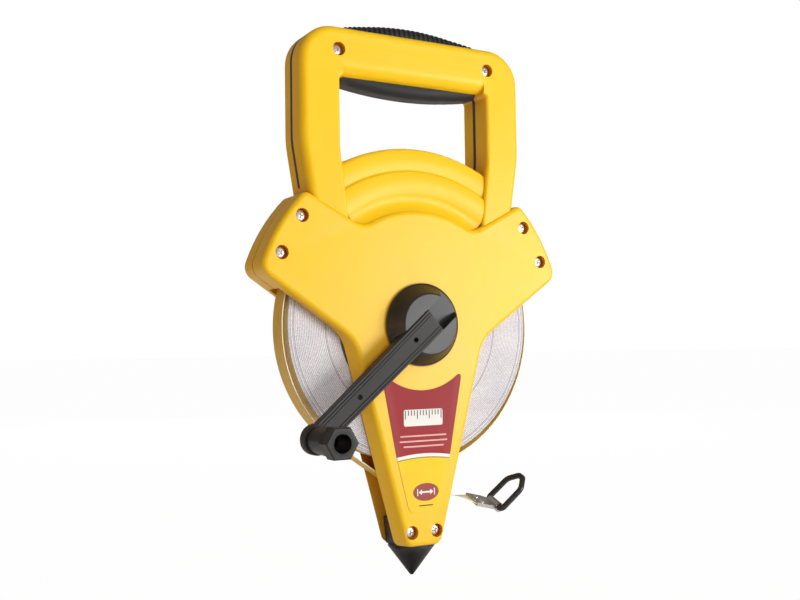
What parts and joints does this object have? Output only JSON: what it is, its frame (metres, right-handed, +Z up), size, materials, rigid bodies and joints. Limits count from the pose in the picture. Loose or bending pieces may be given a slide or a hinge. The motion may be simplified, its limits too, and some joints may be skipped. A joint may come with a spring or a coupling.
{
  "type": "surveyor tape reel",
  "caption": "Open-frame surveyor's tape reel: moulded carry frame with grip, wound tape on a drum, folding crank, ground spike and end hook ring.",
  "frame": {"origin": "where the drum's axis meets the rear face of the frame", "axes": "+X to the right and +Z up seen from the front (crank side); +Y from the crank side to the rear, along the drum's axis"},
  "size_m": [0.1962, 0.0714, 0.3232],
  "materials": {
    "yellow_abs": "satin moulded ABS",
    "grip_rubber": "matt ribbed rubber",
    "black_plastic": "satin",
    "knob_plastic": "satin, finely moulded",
    "zinc_steel": "bright zinc plated",
    "clip_steel": "nickel plated, lightly brushed",
    "ring_coating": "dipped coating over steel wire",
    "bush_nylon": "natural nylon",
    "drum_plastic": "matt",
    "tape_pack": "edges of the wound tape",
    "tape_outer": "coated fibreglass tape",
    "label_film": "printed film"
  },
  "bodies": {
    "frame": {"front_shell": "yellow_abs", "rear_shell": "yellow_abs", "grip_insert": "grip_rubber", "ground_spike": "black_plastic", "frame_screws": "zinc_steel", "front_bush": "bush_nylon", "rear_bush": "bush_nylon", "tape_outer_turn": "tape_outer", "guide_pin": "zinc_steel", "exit_post": "zinc_steel", "label_plate": "label_film"},
    "reel": {"tape_drum": "drum_plastic", "tape_pack": "tape_pack", "axle": "zinc_steel", "axle_washer": "zinc_steel", "axle_screw": "zinc_steel", "crank_hub": "black_plastic", "crank_pivot_pin": "zinc_steel"},
    "crank": {"crank_arm": "black_plastic", "knob_pin": "zinc_steel"},
    "knob": {"crank_knob": "knob_plastic"},
    "roller": {"guide_roller": "bush_nylon"},
    "tape_end": {"tape_tail": "tape_outer", "end_clip": "clip_steel", "clip_rivets": "clip_steel"},
    "ring": {"hook_ring": "ring_coating"}
  },
  "joints": [
    {"name": "reel_spin", "type": "hinge", "parent": "frame", "child": "reel", "pos_m": [0, -0.014, 0], "axis": [0, 1, 0], "continuous": true},
    {"name": "crank_fold", "type": "hinge", "parent": "reel", "child": "crank", "pos_m": [0, -0.039, 0], "axis": [-0.6508, 0, 0.7593], "range_deg": [0, 160]},
    {"name": "knob_spin", "type": "hinge", "parent": "crank", "child": "knob", "pos_m": [-0.07213, -0.042, -0.06182], "axis": [0, 1, 0], "continuous": true},
    {"name": "roller_spin", "type": "hinge", "parent": "frame", "child": "roller", "pos_m": [-0.0132, -0.014, -0.0878], "axis": [0, 1, 0], "continuous": true},
    {"name": "tape_pull", "type": "slide", "parent": "frame", "child": "tape_end", "axis": [0.9703, 0, -0.2419], "range_m": [0, 0.03]},
    {"name": "ring_swing", "type": "hinge", "parent": "tape_end", "child": "ring", "pos_m": [0.06006, -0.014, -0.1106], "axis": [0.0707, 0.9563, 0.2837], "range_deg": [-95, 50]}
  ]
}
